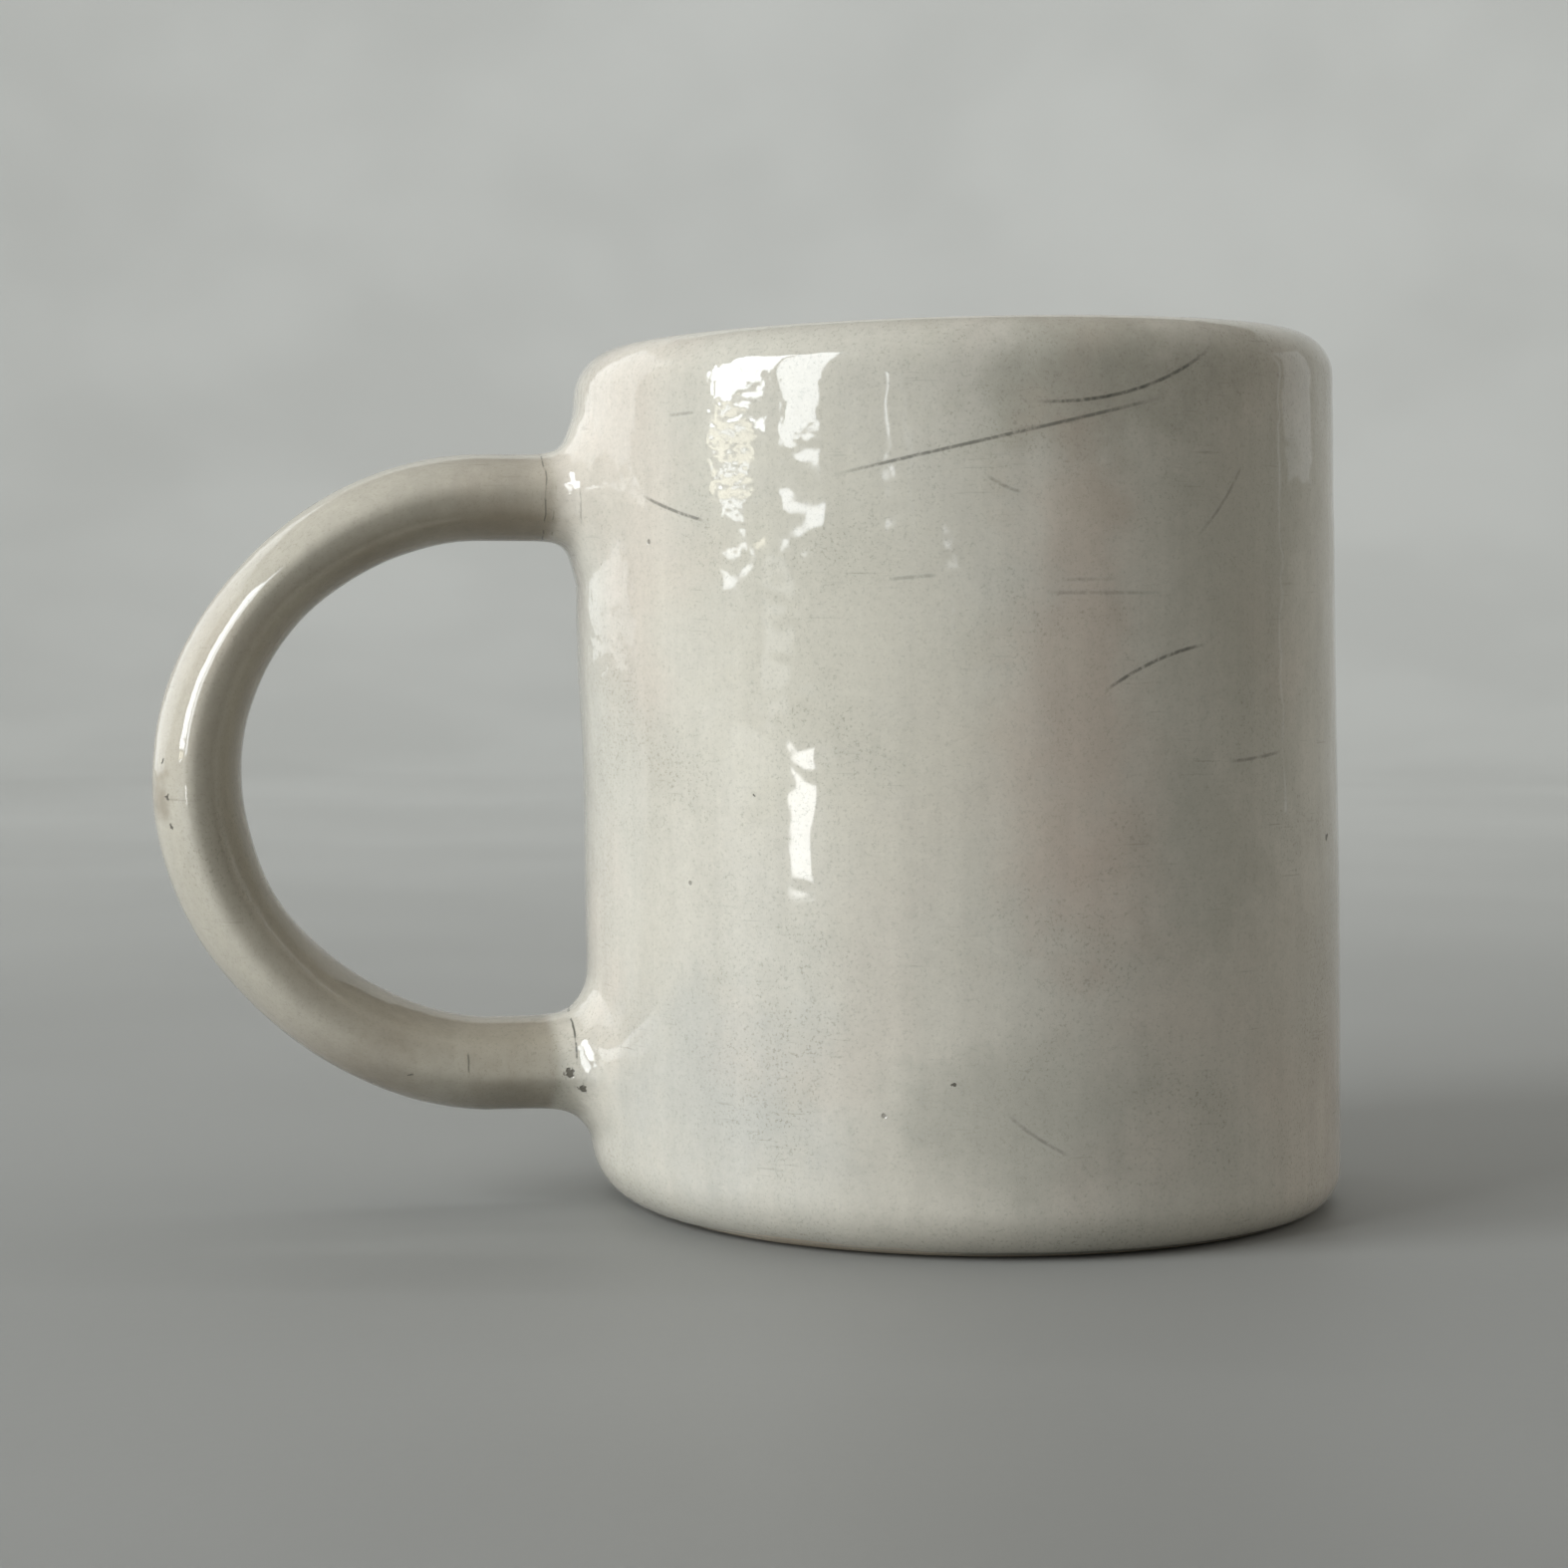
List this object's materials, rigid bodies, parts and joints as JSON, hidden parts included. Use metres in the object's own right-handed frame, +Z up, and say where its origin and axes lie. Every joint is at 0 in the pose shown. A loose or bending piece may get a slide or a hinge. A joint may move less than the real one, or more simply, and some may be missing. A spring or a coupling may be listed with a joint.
{
  "type": "ceramic mug",
  "caption": "Hand-built glazed ceramic mug: a plain upright cylinder with a rounded rim and foot, and a half-round loop handle.",
  "frame": {"origin": "middle of the flat underside of the base, on the table's surface", "axes": "+Z up out of the mouth, -X along the handle, +Y to the left of someone who looks from the handle to the body"},
  "size_m": [0.1286, 0.082, 0.0934],
  "materials": {
    "clay": "bare fired stoneware, matt",
    "glaze": "glossy warm grey-cream glaze with faint blotches"
  },
  "bodies": {
    "root": {"body_wall": "clay", "base_disc": "clay", "base_seam_coil": "clay", "handle_rod": "clay", "upper_handle_joint": "clay", "lower_handle_joint": "clay", "outer_glaze": "glaze", "liner_glaze": "glaze", "handle_glaze": "glaze"}
  },
  "joints": []
}
